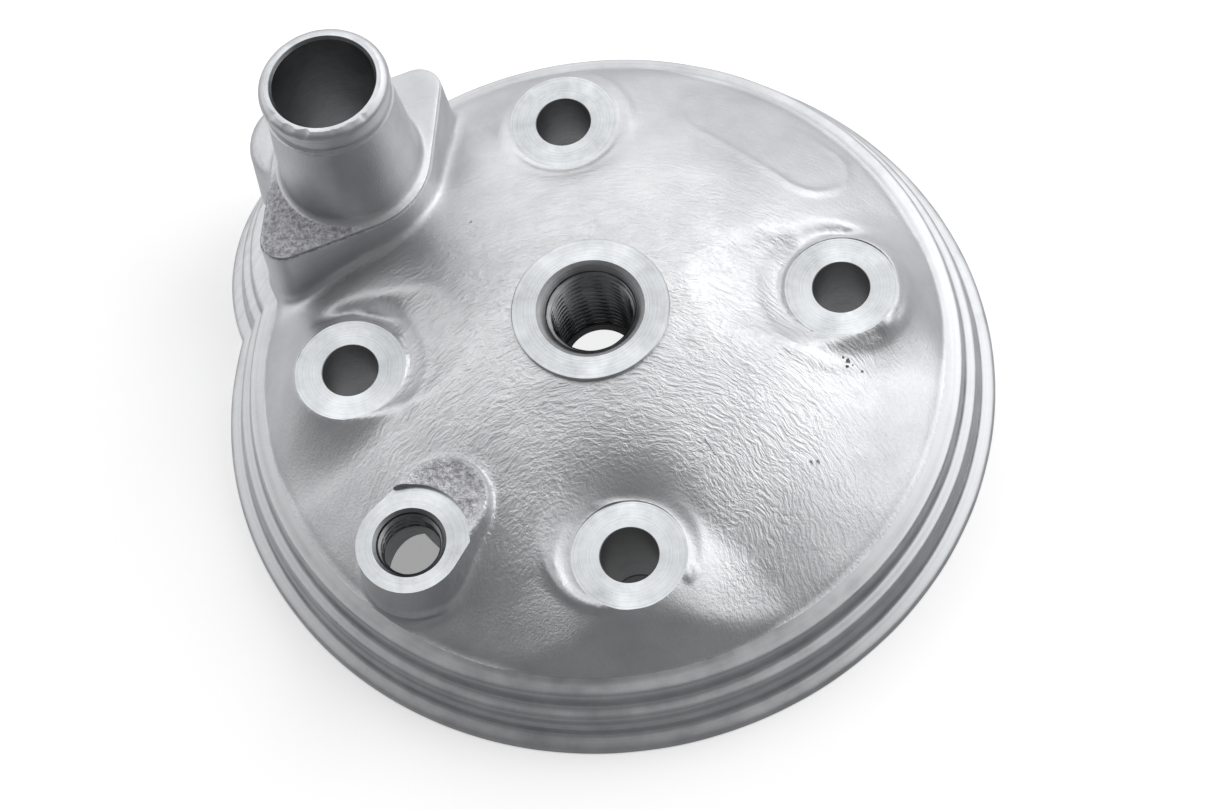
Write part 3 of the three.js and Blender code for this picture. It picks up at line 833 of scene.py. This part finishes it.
def boreTools():
    radius, height, depth, arc = bores["bowl"]
    turns = np.linspace(0, arc, 14).tolist()
    bowl = [(radius * math.cos(t), height + depth / math.sin(arc) * math.sin(t)) for t in turns]
    chamber = bores["squish"] + bowl + bores["throat"]
    cuts = [("chamber", "chamber", chamber, (0, 0))]
    cuts += [("studHole", "stud", bores["stud"], stud["place"]) for stud in studs]
    cuts.append(("sensorHole", "sensor", bores["sensor"], sensorCentre))
    cuts.append(("outletBore", "outlet", bores["outlet"], outletCentre))
    tools = [turned(name, profile, centre, bores["segments"][kind], finishIndex["drilled"])
             for name, kind, profile, centre in cuts]
    tools.append(turned("lugCore", bores["lugCore"], lugCoreCentre, bores["segments"]["lugCore"]))
    for radius, segments in bores["grooves"]:
        inner, outer = radius - bores["grooveHalf"], radius + bores["grooveHalf"]
        profile = [(inner, -3), (outer, -3), (outer, bores["grooveTop"]), (inner, bores["grooveTop"])]
        tools.append(turned("groove", profile, (0, 0), segments, finishIndex["faced"]))
    return joinedTools("bores", tools)


def gasketTool():
    return turned("gasketCut", [(0, -6), (90, -6), (90, 0), (0, 0)], (0, 0), 64, finishIndex["faced"])


marks = {  # places on the skin, and sizes
    "pits": [
        (38.3, -12.7, 0.5), (37.6, -12.1, 0.34), (39.0, -12.2, 0.32), (38.0, -13.5, 0.34), (38.9, -13.3, 0.3),
        (40.2, -14.3, 0.28), (29.7, -28.6, 0.4), (30.8, -28.5, 0.36), (-17.2, 21.4, 0.32),
    ],
    "scratch": ((14.2, -24.1), (15.3, -26.5), 0.22),
    "scratchSteps": 8,
    "uneven": 0.5,
}


def capHeight(x, y):
    return blank["apex"] - blank["ballRadius"] + math.sqrt(blank["ballRadius"] ** 2 - x * x - y * y)


def pitTools():  # small blow holes, uneven, and one scratch
    places = list(marks["pits"])
    (startX, startY), (endX, endY), width = marks["scratch"]
    steps = marks["scratchSteps"]
    for i in range(steps + 1):
        places.append((startX + (endX - startX) * i / steps, startY + (endY - startY) * i / steps, width))
    tools = []
    for index, (x, y, size) in enumerate(places):
        work = bmesh.new()
        bmesh.ops.create_icosphere(work, subdivisions=2, radius=size)
        for vert in work.verts:
            vert.co *= 1 + marks["uneven"] * noise.noise(vert.co / size * 1.3 + Vector((index * 3.1, 0, 0)))
            vert.co += Vector((x, y, capHeight(x, y) + size * 0.25))
        mesh = bpy.data.meshes.new("pit")
        work.to_mesh(mesh)
        work.free()
        made = bpy.data.objects.new("pit", mesh)
        scene.collection.objects.link(made)
        tools.append(made)
    return tools


def toolAxes(piece):  # each machined face keeps the axis of the tool that cut it
    mesh = piece.data
    axes = [(stud["place"], 10.5) for stud in studs] + [(sensorCentre, 9.6), (outletCentre, 12)]
    stored = mesh.attributes.new("toolAxis", "FLOAT_VECTOR", "FACE")
    centres = np.zeros(len(mesh.polygons) * 3, np.float32)
    mesh.polygons.foreach_get("center", centres)
    centres = centres.reshape(-1, 3)
    found = np.zeros_like(centres)
    for (cx, cy), reach in axes:
        near = (np.hypot(centres[:, 0] - cx, centres[:, 1] - cy) < reach) & (centres[:, 2] > 3)
        found[near] = (cx, cy, 0)
    stored.data.foreach_set("vector", (found * mm).ravel())


plugRing = [(0, 20), (12.5, 20), (12.5, 27.35), (12.35, 27.5), (0, 27.5)]  # the plug's raised seat


def headCasting(finishes):
    casting = polygonised("cast_head", castField, blank["low"], blank["high"], blank["step"])
    wrinkleSkin(casting)
    print("casting skin", len(casting.data.polygons))
    water = polygonised("jacket", jacketField, jacket["low"], jacket["high"], jacket["step"])
    lugBody = polygonised("lug", lugField, lug["low"], lug["high"], blank["step"])
    print("water jacket", len(water.data.polygons))
    rim, facing = rimTool(), facingTools()
    ring = turned("plugSeat", plugRing, (0, 0), 200, finishIndex["faced"])
    cuts = [lipTool(), flangeStepTool(), water, boreTools(), gasketTool()]
    pits = pitTools()
    for piece in [casting, lugBody, rim, facing, ring] + cuts + pits:
        for finish in finishes:
            piece.data.materials.append(finish)
    carve(casting, [rim])
    carve(casting, [lugBody], "UNION")  # after the rim, which its foot crosses
    carve(casting, [facing])
    carve(casting, [ring], "UNION")
    carve(casting, cuts + pits)
    toolAxes(casting)
    print("machined casting", len(casting.data.polygons))
    return toMetres(casting)


inserts = {
    "plug_thread_sleeve": {
        "replaces": "plug_thread_insert", "centre": (0, 0), "foot": 10.5, "top": 26.5, "minor": 6.4,
        "outer": 7.2, "pitch": 1.25, "depth": 0.62,
    },
    "sensor_thread_sleeve": {
        "replaces": "sensor_thread_insert", "centre": sensorCentre, "foot": 19.0, "top": 23.1, "minor": 4.5,
        "outer": 5.2, "pitch": 1.25, "depth": 0.5,
    },
}
threadRows = 12  # rows of points for each pitch
threadSegments = 96


def threadedSleeve(name, size):
    foot, top, outer = size["foot"], size["top"], size["outer"]
    rows = int(round((top - foot) / (size["pitch"] / threadRows)))
    loops = []
    for i in range(threadSegments):
        turn = 2 * math.pi * i / threadSegments
        inner = []
        for j in range(rows + 1):
            z = foot + (top - foot) * j / rows
            phase = (z / size["pitch"] + i / threadSegments) % 1
            crest = min(1, max(0, abs(phase - 0.5) * 2 * 1.3 - 0.15))  # 60 degree thread with a flat crest
            fade = min(1, (top - z) / 0.8 + 0.1)  # runs out at the mouth, which is countersunk
            radius = size["minor"] + size["depth"] * (1 - crest) * fade + max(0, 0.75 - (top - z))
            inner.append((min(outer - 0.06, radius), z))
        profile = inner + [(outer, top - 0.05), (outer, foot + 0.15), (outer - 0.15, foot)]
        x, y = size["centre"]
        loops.append([(x + r * math.cos(turn), y + r * math.sin(turn), z) for r, z in profile])
    return skinned(name, loops)


def addInserts(steel):
    for name, size in inserts.items():
        piece = threadedSleeve(name, size)
        piece.data.materials.append(steel)
        toolAxes(piece)
        toMetres(piece, sharpAngle=40)
        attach(piece, "root")
        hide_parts(size["replaces"])


sealRings = {  # mm to the middle line, half the section, and segments
    "chamber": (27.7, 1.15, 180),
    "jacket": (58.1, 1.15, 280),
    "stud": (5.7, 0.9, 80),
    "flash": 0.03,  # the mould's joint line
    "around": 24,  # points round the section
}
studReach = 39.5


def ringSection(radius, section):
    flash, count = sealRings["flash"], sealRings["around"]
    profile = []
    for k in range(count):
        a = 2 * math.pi * (k + 0.5) / count
        half = section - flash + (flash if k in (11, 23) else 0)
        profile.append((radius + half * math.cos(a), section + half * math.sin(a)))
    return profile


def addRings(finish):
    rings = [
        ("chamber_ring", "chamber_seal_ring", (0, 0), sealRings["chamber"]),
        ("jacket_ring", "jacket_seal_ring", (0, 0), sealRings["jacket"]),
    ]
    for i in range(4):
        angle = math.radians(90 * i)
        place = (studReach * math.cos(angle), studReach * math.sin(angle))
        rings.append((f"stud_ring_{i + 1}", f"stud_seal_ring_{i + 1}", place, sealRings["stud"]))
    for name, cadNode, centre, (radius, section, segments) in rings:
        ring = turned(name, ringSection(radius, section), centre, segments)
        ring.data.materials.append(finish)
        toMetres(ring, sharpAngle=60)
        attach(ring, "root")
        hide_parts(cadNode)


addCamera()
addStudio()
print("camera and studio")
skin = castSkin()
faced, drilled, rimmed, steel = [turnedMetal(name, *finish) for name, finish in metals.items()]
head = headCasting([skin, faced, drilled, rimmed])
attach(head, "root")
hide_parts("head_casting")
print("casting done")
addInserts(steel)
print("thread inserts done")
addRings(rubber())
print("sealing rings done")
